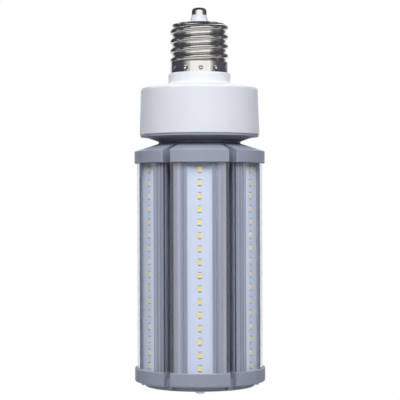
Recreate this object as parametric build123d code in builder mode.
from build123d import *
from math import asin, atan, cos, degrees, radians, sin, sqrt, tan
import os

os.makedirs("parts", exist_ok=True)

# LED lamp with a mogul (E39) screw base, in millimetres.
# The origin is on the axis, where the screw shell meets the white neck.
# +Z points to the centre contact, and the front row of LEDs faces -Y.

# Screw base
thread_diameter = 39.6
thread_depth = 1.8
thread_pitch = 6.35
thread_land = 0.08
thread_start = 5.4
shell_height = 34.6
shell_wall = 0.9
collar_height = 7.2
collar_step = 0.5
crown_rise = 1.2
crown_round = 1.4
stake_count = 12
stake_angle = 3
stake_height = 2.8
stake_radius = 2.4
stake_depth = 0.6
contact_diameter = 10.2
contact_height = 5.4
contact_round = 2.9
stem_diameter = 3.2
stem_length = 10.3
insulator_height = 4.6
insulator_flare = 1.4
insulator_plug = 0.4
insulator_depth = 2.9

# White driver housing
neck_lip = 1.6
neck_height = 6.8
neck_chamfer = 0.8
neck_fillet = 1.6
spigot_height = 24.0
shoulder_drop = 3.2
shoulder_round = 2.0
skirt_top_diameter = 78.4
mouth_diameter = 80.6
mouth_round = 0.6
housing_height = 41.4
housing_wall = 2.2

# Grey saucer under the housing
saucer_drop = 5.1
saucer_wall = 2.0
saucer_flange = 1.3
saucer_cone_diameter = 73.0
plug_height = 4.2
waist_diameter = 55.2
waist_collar = 0.7
tube_wall = 2.6
saucer_spigot = 3.0
lead_hole_diameter = 18.0

# Finned body, lenses and LEDs
lobe_count = 6
body_diameter = 79.6
body_length = 136.6
hub_diameter = 26.0
hub_wall = 2.4
web_thickness = 2.2
web_fillet = 2.0
channel_width = 7.3
flange_thickness = 2.6
board_width = 16.8
board_thickness = 1.2
board_depth = 1.8
board_lip = 0.4
groove_place = 10.4
groove_width = 0.5
groove_depth = 0.5
lens_gap = 0.8
lens_thickness = 1.5
lens_leg = 1.5
lens_hook = 1.0
lens_hook_thickness = 1.2
led_count = 16
led_width = 2.8
led_length = 3.5
led_height = 0.7
led_top_margin = 4.6
led_bottom_margin = 3.0

# End caps
cap_wall = 1.5
cap_slope_height = 6.0
cap_rim_height = 8.0
cap_grip = 4.0
cap_floor = 2.5
cap_round = 0.5
cap_ledge = 1.5
cap_roof = 2.0
notch_width = 5.6
notch_root = 1.4
notch_root_width = 2.2
notch_round = 0.7
centring_height = 3.0
window_width = 6.0
window_height = 4.0
bottom_rim_height = 9.2
bottom_round = 1.2
bottom_notch_width = 4.2
bottom_web_recess = 4.0
disc_diameter = 73.4
disc_draft = 1.0
disc_height = 3.2
disc_round = 0.8
disc_cone = 1.2
disc_floor = 2.4
disc_tab_width = 4.0
disc_tab_reach = 2.6
disc_tab_height = 2.8
boss_diameter = 13.0
boss_height = 1.7

# Fasteners
bolt_diameter = 5.0
bolt_head_diameter = 7.4
bolt_head_height = 2.8
bolt_head_round = 1.8
bolt_end = 1.2
cross_length = 4.4
cross_width = 0.9
cross_depth = 1.4
nut_width = 8.0
nut_height = 4.0
washer_diameter = 10.0
washer_thickness = 1.0
screw_diameter = 3.0
screw_head_diameter = 6.0
screw_head_height = 2.0
screw_head_taper = 8
base_screw_length = 8.0
board_screw_length = 6.0
post_diameter = 7.2
base_screw_circle = 34.0
board_screw_circle = 62.0
board_screw_angle = 60
base_screw_angle = -60
screw_count = 3

# Driver
driver_board_gap = 3.4
driver_board_thickness = 1.6
driver_board_lift = 5.0
component_ring = 10.0
bulk_diameter = 10.0
bulk_height = 20.0
bulk_angles = (-15, -43)
output_diameter = 12.6
output_height = 20.0
output_angle = -140
film_size = (13.0, 6.0, 11.0)
film_angle = -90
bridge_size = (4.0, 15.0, 10.0)
bridge_angle = 135
fuse_diameter = 5.2
fuse_length = 10.0
choke_diameter = 11.8
choke_thickness = 5.0
choke_angle = 25
core_size = (24.0, 8.0, 18.0)
core_leg = 5.0
centre_leg = 8.0
coil_wall = 4.2
coil_gap = 0.4
core_place = 14.0

# Leads
lead_diameter = 2.0
live_foot = (4.0, -9.0)
neutral_foot = (-6.0, -9.0)
neutral_place = 11.0
lead_rise = 16.0
lead_bend = 0.45
board_lead_diameter = 1.6
board_lead_circle = 12.0

# Clearances
fit = 0.1
slide = 0.2
hang = 0.05

# Radii and heights worked out from the sizes above
thread_radius = thread_diameter / 2
root_radius = thread_radius - thread_depth
core_radius = root_radius + thread_land
thread_rounding = (thread_pitch**2 / 4 + thread_depth**2) / (4 * thread_depth)
shell_bore = root_radius - shell_wall
collar_radius = thread_radius - collar_step
collar_bore = collar_radius - shell_wall
crown_edge = shell_height - crown_rise
contact_radius = contact_diameter / 2
stem_radius = stem_diameter / 2
contact_seat = shell_height + insulator_height
plug_radius = contact_radius + insulator_plug

neck_radius = collar_radius + neck_lip
spigot_radius = shell_bore - fit
skirt_top_radius = skirt_top_diameter / 2
mouth_radius = mouth_diameter / 2
shoulder_top = -neck_height
shoulder_bottom = shoulder_top - shoulder_drop
mouth = -housing_height

waist_radius = waist_diameter / 2
waist = mouth - saucer_drop
tube_bore = waist_radius - tube_wall
saucer_spigot_radius = tube_bore - fit
saucer_plug_radius = mouth_radius - housing_wall - slide
saucer_floor = waist + saucer_wall

body_radius = body_diameter / 2
hub_radius = hub_diameter / 2
hub_bore = hub_radius - hub_wall
half_channel = channel_width / 2
half_pitch_angle = 180 / lobe_count
board_face = body_radius - board_depth
board_seat = board_face - board_thickness
flange_back = board_seat - flange_thickness
lens_inner = body_radius + lens_gap
lens_outer = lens_inner + lens_thickness
pocket_radius = lens_outer + slide
cap_radius = pocket_radius + cap_wall

cap_rim_top = waist - cap_slope_height
cap_rim_bottom = cap_rim_top - cap_rim_height
sink_top = cap_rim_bottom + cap_grip
bottom_rim_top = cap_rim_bottom - body_length
sink_bottom = bottom_rim_top - cap_grip
sink_length = sink_top - sink_bottom
bottom_rim = bottom_rim_top - bottom_rim_height
disc_radius = disc_diameter / 2
disc_bottom = bottom_rim - disc_height
boss_radius = boss_diameter / 2
boss_top = disc_bottom - disc_cone
boss_bottom = boss_top - boss_height
cap_floor_top = sink_top + cap_floor
bolt_radius = bolt_diameter / 2
bolt_top = cap_floor_top + washer_thickness + nut_height + bolt_end

driver_radius = saucer_plug_radius - driver_board_gap
driver_bottom = mouth + driver_board_lift
driver_top = driver_bottom + driver_board_thickness
ring_radius = driver_radius - component_ring

front_angle = -90
notch_angle = front_angle + half_pitch_angle
lobe_angles = [front_angle + 360 / lobe_count * number for number in range(lobe_count)]


def save(piece, name):
    """Label a finished piece and write its STEP file."""
    piece.part.label = name
    export_step(piece.part, f"parts/{name}.step")


def on_wall(radius, offset):
    """Point of a lobe's side at a radius, where the wall runs offset from the channel's middle."""
    angle = radians(half_pitch_angle) - asin(offset / radius)
    return (radius * cos(angle), radius * sin(angle))


def wall_at(across, offset):
    """Point of the same wall where it crosses the line X = across."""
    lean = radians(half_pitch_angle)
    return (across, (across * sin(lean) - offset) / cos(lean))


def on_arc(radius, side):
    """Point of a circle about the axis at a distance to the side of the lobe's middle."""
    return (sqrt(radius**2 - side**2), side)


def lobe_plane(angle, height):
    """Level plane whose X axis points out through a lobe."""
    return Plane((0, 0, height), x_dir=(cos(radians(angle)), sin(radians(angle)), 0))


def face_plane(angle, radius, height):
    """Upright plane that faces out of a lobe, with its Y axis along +Z."""
    out = Vector(cos(radians(angle)), sin(radians(angle)), 0)
    side = Vector(-out.Y, out.X, 0)
    return Plane(out * radius + Vector(0, 0, height), x_dir=side, z_dir=out)


def section_plane(angle):
    """Upright plane through the axis, with its X axis pointing out at an angle."""
    return Plane.XZ.rotated((0, 0, angle))


# Centre contact: a rivet with a domed head
with BuildPart() as centre_contact:
    with BuildSketch(Plane.XZ) as contact_profile:
        with BuildLine():
            Polyline(
                (0, contact_seat - stem_length),
                (stem_radius, contact_seat - stem_length),
                (stem_radius, contact_seat),
                (contact_radius, contact_seat),
                (contact_radius, contact_seat + contact_height),
                (0, contact_seat + contact_height),
                close=True,
            )
        make_face()
        head_edge = contact_profile.vertices().sort_by(Axis.X)[-2:].sort_by(Axis.Y)[-1]
        fillet(head_edge, contact_round)
    revolve(axis=Axis.Z)
save(centre_contact, "centre_contact")

# Contact insulator: a cone on the crown, with a plug through it
with BuildPart() as contact_insulator:
    with BuildSketch(Plane.XZ):
        with BuildLine():
            Polyline(
                (stem_radius + hang, shell_height - insulator_depth),
                (plug_radius, shell_height - insulator_depth),
                (plug_radius, shell_height),
                (contact_radius + insulator_flare, shell_height),
                (contact_radius + hang, contact_seat),
                (stem_radius + hang, contact_seat),
                close=True,
            )
        make_face()
    revolve(axis=Axis.Z)
save(contact_insulator, "contact_insulator")

# Thread ridge: crest and roots are equal arcs that run into each other
crest_side = thread_pitch / 4
crest_rise = thread_radius - core_radius
flank_rise = crest_rise - thread_depth / 2
ridge_half = thread_pitch / 2 - sqrt(2 * thread_rounding * thread_land - thread_land**2)
ridge_foot = shell_wall / 2
with BuildPart() as thread_ridge:
    with BuildLine() as thread_path:
        Helix(thread_pitch, shell_height - thread_start, core_radius, center=(0, 0, thread_start))
    with BuildSketch(Plane(thread_path.line @ 0, x_dir=(1, 0, 0), z_dir=thread_path.line % 0)):
        with BuildLine():
            crest = ThreePointArc((flank_rise, -crest_side), (crest_rise, 0), (flank_rise, crest_side))
            TangentArc((flank_rise, crest_side), (0, ridge_half), tangent=crest % 1)
            TangentArc((flank_rise, -crest_side), (0, -ridge_half), tangent=(crest % 0) * -1)
            Polyline((0, ridge_half), (-ridge_foot, ridge_half), (-ridge_foot, -ridge_half), (0, -ridge_half))
        make_face()
    sweep(path=thread_path.line, is_frenet=True)
    # The ridge runs out into the collar below and under the crown above
    with BuildSketch(Plane.XZ):
        with BuildLine():
            Polyline(
                (0, collar_height - shell_wall),
                (collar_radius - fit, collar_height - shell_wall),
                (collar_radius - fit, collar_height - fit),
                (thread_radius + thread_depth, collar_height + thread_depth),
                (thread_radius + thread_depth, crown_edge - thread_depth - crown_round),
                (core_radius - crown_round / 2, crown_edge - fit),
                (0, crown_edge - fit),
                close=True,
            )
        make_face()
    revolve(axis=Axis.Z, mode=Mode.INTERSECT)

# Screw shell: collar, threaded wall and crown
with BuildPart() as screw_shell:
    with BuildSketch(Plane.XZ):
        with BuildLine():
            Polyline(
                (collar_bore, 0),
                (collar_radius, 0),
                (collar_radius, collar_height),
                (core_radius, collar_height + collar_radius - core_radius),
                (core_radius, crown_edge - crown_round),
                (core_radius - crown_round, crown_edge),
                (contact_radius + insulator_flare, shell_height),
                (plug_radius + hang, shell_height),
                (plug_radius + hang, shell_height - shell_wall),
                (shell_bore - crown_round, crown_edge - shell_wall),
                (shell_bore, crown_edge - shell_wall - crown_round),
                (shell_bore, collar_height - shell_wall),
                (collar_bore, collar_height - shell_wall),
                close=True,
            )
        make_face()
    revolve(axis=Axis.Z)
    add(thread_ridge.part)
    with Locations((0, 0, stake_height)):
        with PolarLocations(collar_radius + stake_radius - stake_depth, stake_count, stake_angle):
            Sphere(stake_radius, mode=Mode.SUBTRACT)
save(screw_shell, "screw_shell")

# Driver housing: white cup with a neck that plugs into the screw shell
spigot_bore = spigot_radius - housing_wall
shoulder_slope = shoulder_drop / (skirt_top_radius - neck_radius)
ceiling = shoulder_top - housing_wall - (spigot_bore - neck_radius) * shoulder_slope
ceiling_edge = shoulder_bottom - housing_wall + housing_wall * shoulder_slope
with BuildPart() as driver_housing:
    with BuildSketch(Plane.XZ) as housing_profile:
        with BuildLine():
            Polyline(
                (spigot_bore, spigot_height),
                (spigot_radius, spigot_height),
                (spigot_radius, collar_height - shell_wall - slide),
                (collar_bore - fit, collar_height - shell_wall - slide),
                (collar_bore - fit, 0),
                (neck_radius - neck_chamfer, 0),
                (neck_radius, -neck_chamfer),
                (neck_radius, shoulder_top),
                (skirt_top_radius, shoulder_bottom),
                (mouth_radius, mouth),
                (mouth_radius - housing_wall, mouth),
                (skirt_top_radius - housing_wall, ceiling_edge),
                (spigot_bore, ceiling),
                close=True,
            )
        make_face()
        for corner, radius in (
            ((neck_radius, shoulder_top), neck_fillet),
            ((skirt_top_radius, shoulder_bottom), shoulder_round),
            ((mouth_radius, mouth), mouth_round),
        ):
            fillet(housing_profile.vertices().sort_by_distance(corner)[0], radius)
    revolve(axis=Axis.Z)
save(driver_housing, "driver_housing")

# Housing base: saucer that closes the cup, with posts for the driver board
saucer_cone_radius = saucer_cone_diameter / 2
saucer_cone_top = mouth - saucer_flange
saucer_cone_bottom = waist + waist_collar
saucer_slope = (saucer_cone_top - saucer_cone_bottom) / (saucer_cone_radius - waist_radius)
saucer_lift = saucer_wall * sqrt(1 + saucer_slope**2)
saucer_inside = saucer_plug_radius - saucer_wall


def saucer_inner(radius):
    """Height of the saucer's inner cone at a radius."""
    return saucer_cone_bottom + (radius - waist_radius) * saucer_slope + saucer_lift


cone_foot = waist_radius - (saucer_cone_bottom + saucer_lift - saucer_floor) / saucer_slope
board_post_circle = board_screw_circle / 2
base_post_circle = base_screw_circle / 2
post_radius = post_diameter / 2
screw_radius = screw_diameter / 2
with BuildPart() as housing_base:
    with BuildSketch(Plane.XZ):
        with BuildLine():
            Polyline(
                (lead_hole_diameter / 2, waist),
                (saucer_spigot_radius - saucer_wall, waist),
                (saucer_spigot_radius - saucer_wall, waist - saucer_spigot),
                (saucer_spigot_radius, waist - saucer_spigot),
                (saucer_spigot_radius, waist),
                (waist_radius, waist),
                (waist_radius, saucer_cone_bottom),
                (saucer_cone_radius, saucer_cone_top),
                (mouth_radius - mouth_round, saucer_cone_top),
                (mouth_radius - mouth_round, mouth),
                (saucer_plug_radius, mouth),
                (saucer_plug_radius, mouth + plug_height),
                (saucer_inside, mouth + plug_height),
                (saucer_inside, saucer_inner(saucer_inside)),
                (cone_foot, saucer_floor),
                (lead_hole_diameter / 2, saucer_floor),
                close=True,
            )
        make_face()
    revolve(axis=Axis.Z)
    with BuildSketch(Plane.XY.offset(driver_bottom)):
        with PolarLocations(board_post_circle, screw_count, start_angle=board_screw_angle):
            Circle(post_radius)
    extrude(until=Until.NEXT, dir=(0, 0, -1))
    with BuildSketch(Plane.XY.offset(driver_bottom)):
        with PolarLocations(board_post_circle, screw_count, start_angle=board_screw_angle):
            Circle(screw_radius + hang)
    extrude(amount=-(driver_bottom - saucer_inner(board_post_circle)), mode=Mode.SUBTRACT)
    with BuildSketch(Plane.XY.offset(saucer_floor)):
        with PolarLocations(base_post_circle, screw_count, start_angle=base_screw_angle):
            Circle(screw_radius + hang)
    extrude(amount=-saucer_wall, mode=Mode.SUBTRACT)
save(housing_base, "housing_base")

# Lobe: curved outer face, slot for the LED board, flat back
half_board = board_width / 2
with BuildSketch() as lobe:
    with BuildLine():
        Polyline(
            (flange_back, 0),
            wall_at(flange_back, half_channel),
            on_wall(body_radius, half_channel),
        )
        RadiusArc(
            on_wall(body_radius, half_channel),
            on_arc(body_radius, groove_place + groove_width / 2),
            body_radius,
        )
        Polyline(
            on_arc(body_radius, groove_place + groove_width / 2),
            on_arc(body_radius - groove_depth, groove_place),
            on_arc(body_radius, groove_place - groove_width / 2),
        )
        RadiusArc(
            on_arc(body_radius, groove_place - groove_width / 2),
            on_arc(body_radius, half_board - board_lip),
            body_radius,
        )
        Polyline(
            on_arc(body_radius, half_board - board_lip),
            (board_face + fit, half_board - board_lip),
            (board_face + fit, half_board + fit),
            (board_seat, half_board + fit),
            (board_seat, 0),
        )
        mirror(about=Plane.XZ)
    make_face()

# Heat sink: one extrusion, hub, webs and lobes
with BuildPart() as heat_sink:
    with BuildSketch(Plane.XY.offset(sink_bottom)) as sink_section:
        Circle(hub_radius)
        with PolarLocations(0, lobe_count, start_angle=front_angle):
            add(lobe.sketch)
            Rectangle(flange_back + flange_thickness / 2, web_thickness, align=(Align.MIN, Align.CENTER))
        corner_radius = sqrt(flange_back**2 + (web_thickness / 2) ** 2)
        web_roots = [v for v in sink_section.vertices() if abs(Vector(v).length - corner_radius) < hang]
        web_feet = [v for v in sink_section.vertices() if abs(Vector(v).length - hub_radius) < hang]
        fillet(web_roots + web_feet, web_fillet)
        Circle(hub_bore, mode=Mode.SUBTRACT)
    extrude(amount=sink_length)
save(heat_sink, "heat_sink")

# LED boards and their rows of LEDs, one of each per lobe
led_span = body_length - led_top_margin - led_bottom_margin
led_pitch = led_span / (led_count - 1)
led_middle = bottom_rim_top + led_bottom_margin + led_span / 2
for number, angle in enumerate(lobe_angles, start=1):
    with BuildPart() as led_board:
        with BuildSketch(face_plane(angle, board_seat, sink_bottom)):
            Rectangle(board_width, sink_length, align=(Align.CENTER, Align.MIN))
        extrude(amount=board_thickness)
    save(led_board, f"led_board_{number}")
    with BuildPart() as led_row:
        with BuildSketch(face_plane(angle, board_face, led_middle)):
            with GridLocations(led_width, led_pitch, 1, led_count):
                Rectangle(led_width, led_length)
        extrude(amount=led_height)
    save(led_row, f"led_row_{number}")

# Lens covers: clear arcs over the lobes, with legs that hook under the flanges
leg_inside = half_channel - fit
leg_outside = leg_inside - lens_leg
hook_top = flange_back - fit
hook_bottom = hook_top - lens_hook_thickness
leg_length = body_length - 2 * slide


def lens_band(side):
    """Section of the lens's arc, ending at an offset from the channels' middles."""
    outer = on_wall(lens_outer, side)
    inner = on_wall(lens_inner, side)
    with BuildSketch() as band:
        with BuildLine():
            ThreePointArc(outer, (lens_outer, 0), (outer[0], -outer[1]))
            ThreePointArc(inner, (lens_inner, 0), (inner[0], -inner[1]))
            Line(inner, outer)
            Line((inner[0], -inner[1]), (outer[0], -outer[1]))
        make_face()
    return band.sketch


with BuildSketch() as lens_legs:
    with BuildLine():
        Polyline(
            on_wall(lens_inner + hang, leg_outside),
            on_wall(lens_inner + hang, leg_inside),
            wall_at(hook_top, leg_inside),
            (hook_top, wall_at(hook_top, leg_inside)[1] - lens_hook),
            (hook_bottom, wall_at(hook_top, leg_inside)[1] - lens_hook),
            wall_at(hook_bottom, leg_outside),
            close=True,
        )
    make_face()
    mirror(about=Plane.XZ)
for number, angle in enumerate(lobe_angles, start=1):
    with BuildPart() as lens_cover:
        with BuildSketch(lobe_plane(angle, sink_bottom + slide)):
            add(lens_band(half_channel))
        extrude(amount=sink_length - 2 * slide)
        with BuildSketch(lobe_plane(angle, bottom_rim_top + slide)):
            add(lens_band(leg_outside))
            add(lens_legs.sketch)
        extrude(amount=leg_length)
    save(lens_cover, f"lens_cover_{number}")

# Pocket of an end cap: room for the six lobes and the hub between them
fin_start = flange_back - slide
pocket_side = half_channel - fit
side_in = on_wall(fin_start - fit, pocket_side)
side_out = on_wall(pocket_radius, pocket_side)
with BuildSketch() as lobe_pocket:
    with BuildLine():
        Polyline((side_out[0], -side_out[1]), (side_in[0], -side_in[1]), side_in, side_out)
        ThreePointArc(side_out, (pocket_radius, 0), (side_out[0], -side_out[1]))
    make_face()
with BuildSketch() as lobe_pockets:
    Circle(fin_start)
    with PolarLocations(0, lobe_count, start_angle=front_angle):
        add(lobe_pocket.sketch)


def notches(root, root_width, rim_width):
    """Sections of the six notches from a radius outwards, with rounded edges where they leave the cap."""
    lean = atan((rim_width - root_width) / 2 / (cap_radius - root))
    along = Vector(cos(lean), sin(lean))
    across = Vector(-sin(lean), cos(lean))
    # The rounding touches the notch's wall and the cap's rim
    side = across.dot(Vector(cap_radius, rim_width / 2)) + notch_round
    middle = across * side + along * sqrt((cap_radius - notch_round) ** 2 - side**2)
    wall_end = middle - across * notch_round
    lip = middle.normalized() * cap_radius
    end = middle.normalized() * (cap_radius + cap_wall)
    with BuildSketch() as notch:
        with BuildLine():
            Polyline((root, 0), (root, root_width / 2), wall_end)
            TangentArc(wall_end, lip, tangent=along)
            Polyline(lip, end, (end.X, 0))
            mirror(about=Plane.XZ)
        make_face()
    with BuildSketch() as ring:
        with PolarLocations(0, lobe_count, start_angle=notch_angle):
            add(notch.sketch)
    return ring.sketch


# Top end cap: tube at the waist, sloped roof with six open notches, skirt round the lobes
slope_top = waist - waist_collar
roof_fall = (slope_top - cap_rim_top) / (cap_radius - waist_radius)
core_in = waist_radius + cap_roof
core_out = pocket_radius - cap_ledge
core_arc = 2 * (half_pitch_angle - degrees(asin((half_channel + cap_ledge) / core_in)))
with BuildPart() as top_end_cap:
    with BuildSketch(Plane.XZ) as top_profile:
        with BuildLine():
            Polyline(
                (bolt_radius + slide, cap_floor_top),
                (tube_bore, cap_floor_top),
                (tube_bore, waist),
                (waist_radius, waist),
                (waist_radius, slope_top),
                (cap_radius, cap_rim_top),
                (cap_radius, cap_rim_bottom),
                (bolt_radius + slide, cap_rim_bottom),
                close=True,
            )
        make_face()
        for corner in ((cap_radius, cap_rim_top), (cap_radius, cap_rim_bottom)):
            fillet(top_profile.vertices().sort_by_distance(corner)[0], cap_round)
    revolve(axis=Axis.Z)
    with BuildSketch(Plane.XY.offset(cap_rim_bottom)):
        add(lobe_pockets.sketch)
        Circle(hub_bore - fit, mode=Mode.SUBTRACT)
    extrude(amount=cap_grip, mode=Mode.SUBTRACT)
    with BuildSketch(Plane.XY.offset(cap_rim_bottom)):
        Circle(hub_bore - fit)
    extrude(amount=cap_grip - centring_height, mode=Mode.SUBTRACT)
    # Hollow each wedge from below, under an even roof
    for angle in lobe_angles:
        with BuildSketch(section_plane(angle - core_arc / 2)):
            with BuildLine():
                Polyline(
                    (core_in, sink_top - fit),
                    (core_out, sink_top - fit),
                    (core_out, slope_top - (core_out - waist_radius) * roof_fall - cap_roof),
                    (core_in, slope_top - (core_in - waist_radius) * roof_fall - cap_roof),
                    close=True,
                )
            make_face()
        revolve(axis=Axis.Z, revolution_arc=core_arc, mode=Mode.SUBTRACT)
    # Lead windows through the tube into the wedges
    with BuildSketch(Plane.XY.offset(cap_floor_top)):
        with PolarLocations(tube_bore - cap_ledge, lobe_count, start_angle=front_angle):
            Rectangle(core_in - tube_bore + 2 * cap_ledge, window_width, align=(Align.MIN, Align.CENTER))
    extrude(amount=window_height, mode=Mode.SUBTRACT)
    # Notches over the channels, cut right through
    with BuildSketch(Plane.XY.offset(cap_rim_bottom)):
        add(notches(waist_radius + notch_root, notch_root_width, notch_width))
    extrude(amount=slope_top - cap_rim_bottom, mode=Mode.SUBTRACT)
    # Posts for the screws that hold the saucer
    with BuildSketch(Plane.XY.offset(cap_floor_top)):
        with PolarLocations(base_post_circle, screw_count, start_angle=base_screw_angle):
            Circle(post_radius)
            Circle(screw_radius + hang, mode=Mode.SUBTRACT)
    extrude(amount=waist - cap_floor_top)
save(top_end_cap, "top_end_cap")

# Bottom end cap: skirt, notched rim, lower disc and a boss for the tie bolt
with BuildPart() as bottom_end_cap:
    with BuildSketch(Plane.XZ) as bottom_profile:
        with BuildLine():
            Polyline(
                (bolt_radius + slide, bottom_rim_top),
                (cap_radius, bottom_rim_top),
                (cap_radius, bottom_rim),
                (disc_radius + disc_draft, bottom_rim),
                (disc_radius, disc_bottom),
                (boss_radius, boss_top),
                (boss_radius, boss_bottom),
                (bolt_radius + slide, boss_bottom),
                close=True,
            )
        make_face()
        for corner, radius in (
            ((cap_radius, bottom_rim_top), cap_round),
            ((cap_radius, bottom_rim), bottom_round),
            ((disc_radius, disc_bottom), disc_round),
        ):
            fillet(bottom_profile.vertices().sort_by_distance(corner)[0], radius)
    revolve(axis=Axis.Z)
    with BuildSketch(Plane.XY.offset(bottom_rim_top)):
        add(lobe_pockets.sketch)
        Circle(hub_bore - fit, mode=Mode.SUBTRACT)
    extrude(amount=-cap_grip, mode=Mode.SUBTRACT)
    with BuildSketch(Plane.XY.offset(bottom_rim_top)):
        Circle(hub_bore - fit)
    extrude(amount=-(cap_grip - centring_height), mode=Mode.SUBTRACT)
    # Hollow between the hub's seat and the lobes' seat
    with BuildSketch(Plane.XY.offset(sink_bottom)):
        Circle(fin_start - cap_ledge)
        Circle(hub_radius + cap_ledge, mode=Mode.SUBTRACT)
    extrude(amount=disc_bottom + disc_floor - sink_bottom, mode=Mode.SUBTRACT)
    # Notches: open beside the skirt, shallower in the rim below
    with BuildSketch(Plane.XY.offset(bottom_rim_top)):
        add(notches(fin_start - cap_ledge, bottom_notch_width, bottom_notch_width))
    extrude(amount=-cap_grip, mode=Mode.SUBTRACT)
    with BuildSketch(Plane.XY.offset(sink_bottom)):
        add(notches(cap_radius - bottom_web_recess, bottom_notch_width, bottom_notch_width))
    extrude(amount=bottom_rim - sink_bottom, mode=Mode.SUBTRACT)
    # Small tabs on the disc below the notches
    with BuildSketch(Plane.XY.offset(bottom_rim)):
        with PolarLocations(disc_radius - disc_round, lobe_count, start_angle=notch_angle):
            Rectangle(disc_round + disc_tab_reach, disc_tab_width, align=(Align.MIN, Align.CENTER))
    extrude(amount=-disc_tab_height)
save(bottom_end_cap, "bottom_end_cap")

# Tie bolt: pan head under the bottom cap, shank through the hub
with BuildPart() as tie_bolt:
    with BuildSketch(Plane.XZ) as bolt_profile:
        with BuildLine():
            Polyline(
                (0, bolt_top),
                (bolt_radius, bolt_top),
                (bolt_radius, boss_bottom),
                (bolt_head_diameter / 2, boss_bottom),
                (bolt_head_diameter / 2, boss_bottom - bolt_head_height),
                (0, boss_bottom - bolt_head_height),
                close=True,
            )
        make_face()
        corner = (bolt_head_diameter / 2, boss_bottom - bolt_head_height)
        fillet(bolt_profile.vertices().sort_by_distance(corner)[0], bolt_head_round)
    revolve(axis=Axis.Z)
    with BuildSketch(Plane.XY.offset(boss_bottom - bolt_head_height)):
        Rectangle(cross_length, cross_width)
        Rectangle(cross_width, cross_length)
    extrude(amount=cross_depth, mode=Mode.SUBTRACT)
save(tie_bolt, "tie_bolt")

with BuildPart() as tie_washer:
    with BuildSketch(Plane.XY.offset(cap_floor_top)):
        Circle(washer_diameter / 2)
        Circle(bolt_radius + fit, mode=Mode.SUBTRACT)
    extrude(amount=washer_thickness)
save(tie_washer, "tie_washer")

with BuildPart() as tie_nut:
    with BuildSketch(Plane.XY.offset(cap_floor_top + washer_thickness)):
        RegularPolygon(nut_width / 2, 6, major_radius=False)
        Circle(bolt_radius + hang, mode=Mode.SUBTRACT)
    extrude(amount=nut_height)
save(tie_nut, "tie_nut")


def pan_screws(circle, start_angle, seat, length):
    """Group of equal pan-head screws on a circle, heads on a seat and shanks down."""
    with BuildPart() as screws:
        with BuildSketch(Plane.XY.offset(seat)):
            with PolarLocations(circle, screw_count, start_angle=start_angle):
                Circle(screw_head_diameter / 2)
        extrude(amount=screw_head_height, taper=screw_head_taper)
        with BuildSketch(Plane.XY.offset(seat)):
            with PolarLocations(circle, screw_count, start_angle=start_angle):
                Circle(screw_radius)
        extrude(amount=-length)
    return screws


base_screws = pan_screws(base_post_circle, base_screw_angle, saucer_floor, base_screw_length)
save(base_screws, "base_screws")
board_screws = pan_screws(board_post_circle, board_screw_angle, driver_top, board_screw_length)
save(board_screws, "board_screws")

# Driver board: round, held by three screws
with BuildPart() as driver_board:
    with BuildSketch(Plane.XY.offset(driver_bottom)):
        Circle(driver_radius)
        with PolarLocations(board_post_circle, screw_count, start_angle=board_screw_angle):
            Circle(screw_radius + fit, mode=Mode.SUBTRACT)
    extrude(amount=driver_board_thickness)
save(driver_board, "driver_board")

with BuildPart() as bulk_capacitors:
    with BuildSketch(Plane.XY.offset(driver_top)):
        for angle in bulk_angles:
            with PolarLocations(ring_radius, 1, start_angle=angle):
                Circle(bulk_diameter / 2)
    extrude(amount=bulk_height)
save(bulk_capacitors, "bulk_capacitors")

with BuildPart() as output_capacitor:
    with BuildSketch(Plane.XY.offset(driver_top)):
        with PolarLocations(ring_radius, 1, start_angle=output_angle):
            Circle(output_diameter / 2)
    extrude(amount=output_height)
save(output_capacitor, "output_capacitor")

with BuildPart() as film_capacitor:
    with BuildSketch(Plane.XY.offset(driver_top)):
        with PolarLocations(ring_radius, 1, start_angle=film_angle):
            Rectangle(film_size[1], film_size[0])
    extrude(amount=film_size[2])
save(film_capacitor, "film_capacitor")

with BuildPart() as bridge_rectifier:
    with BuildSketch(Plane.XY.offset(driver_top)):
        with PolarLocations(ring_radius, 1, start_angle=bridge_angle):
            Rectangle(bridge_size[0], bridge_size[1])
    extrude(amount=bridge_size[2])
save(bridge_rectifier, "bridge_rectifier")

with BuildPart() as input_fuse:
    with BuildSketch(Plane.XZ.offset(-fuse_length / 2)):
        with Locations((-ring_radius, driver_top + fuse_diameter / 2)):
            Circle(fuse_diameter / 2)
    extrude(amount=fuse_length)
save(input_fuse, "input_fuse")

with BuildPart() as filter_choke:
    with BuildSketch(section_plane(0)):
        with Locations((choke_diameter / 2, driver_top + choke_thickness / 2)):
            Circle(choke_thickness / 2)
    revolve(axis=Axis.Z)
filter_choke.part.locate(lobe_plane(choke_angle, 0).location * Location((ring_radius, 0, 0)))
save(filter_choke, "filter_choke")

# Transformer: three-legged core, coil round its middle leg
core_wide, core_deep, core_tall = core_size
window_tall = core_tall - 2 * core_leg
window_wide = (core_wide - 2 * core_leg - centre_leg) / 2
core_middle = driver_top + core_tall / 2
with BuildPart() as transformer_core:
    with BuildSketch(Plane.XZ.offset(-core_place - core_deep / 2)):
        with Locations((0, core_middle)):
            Rectangle(core_wide, core_tall)
            with GridLocations(centre_leg + window_wide, 0, 2, 1):
                Rectangle(window_wide, window_tall, mode=Mode.SUBTRACT)
    extrude(amount=core_deep)
save(transformer_core, "transformer_core")

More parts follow.
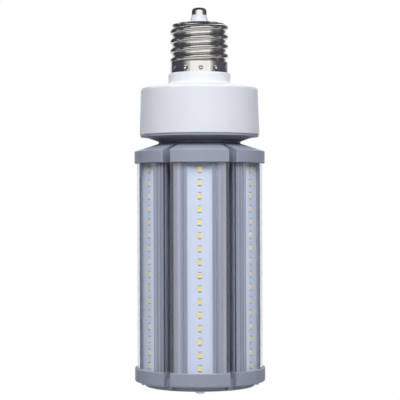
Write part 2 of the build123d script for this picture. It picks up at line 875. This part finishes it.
# Coil round the middle leg, clear of the core all round
coil_wide = centre_leg + 2 * (window_wide - coil_gap)
with BuildPart() as transformer_coil:
    with BuildSketch(Plane.XY.offset(driver_top + core_leg + fit)):
        with Locations((0, core_place)):
            RectangleRounded(coil_wide, core_deep + 2 * coil_wall, coil_wall / 2)
            Rectangle(centre_leg + 2 * fit, core_deep + 2 * fit, mode=Mode.SUBTRACT)
    extrude(amount=window_tall - 2 * fit)
save(transformer_coil, "transformer_coil")


def bend_radii(points):
    """Largest arc at each corner that leaves part of both runs straight."""
    corners = [Vector(point) for point in points]
    radii = []
    for before, here, after in zip(corners, corners[1:], corners[2:]):
        half_turn = radians((here - before).get_angle(after - here) / 2)
        shorter = min((here - before).length, (after - here).length)
        radii.append(lead_bend * shorter / tan(half_turn))
    return radii


def lead(points):
    """Lead wire along straight runs joined by arcs."""
    with BuildPart() as wire:
        with BuildLine() as route:
            FilletPolyline(*points, radius=bend_radii(points))
        with BuildSketch(Plane(route.line @ 0, z_dir=route.line % 0)):
            Circle(lead_diameter / 2)
        sweep(path=route.line)
    return wire


# Live lead to the contact's stem, neutral lead to the crown of the shell
lead_knee = driver_top + lead_rise
live_route = [
    (*live_foot, driver_top),
    (*live_foot, lead_knee),
    (0, 0, 0),
    (0, 0, contact_seat - stem_length),
]
save(lead(live_route), "live_lead")
neutral_route = [
    (*neutral_foot, driver_top),
    (*neutral_foot, lead_knee),
    (-neutral_place, 0, 0),
    (-neutral_place, 0, crown_edge - shell_wall),
]
save(lead(neutral_route), "neutral_lead")

# Board leads: down through the saucer, out through the windows, to the top of each LED board
board_lead_level = cap_floor_top + board_lead_diameter / 2 + slide
board_middle = board_seat + board_thickness / 2
board_route = [
    (board_lead_circle / 2, driver_bottom),
    (board_lead_circle / 2, board_lead_level),
    (board_middle, board_lead_level),
    (board_middle, sink_top),
]
with BuildPart() as board_leads:
    for angle in lobe_angles:
        with BuildLine(section_plane(angle)) as board_path:
            FilletPolyline(*board_route, radius=bend_radii(board_route))
        with BuildSketch(Plane(board_path.line @ 0, z_dir=board_path.line % 0)):
            Circle(board_lead_diameter / 2)
        sweep(path=board_path.line)
save(board_leads, "board_leads")
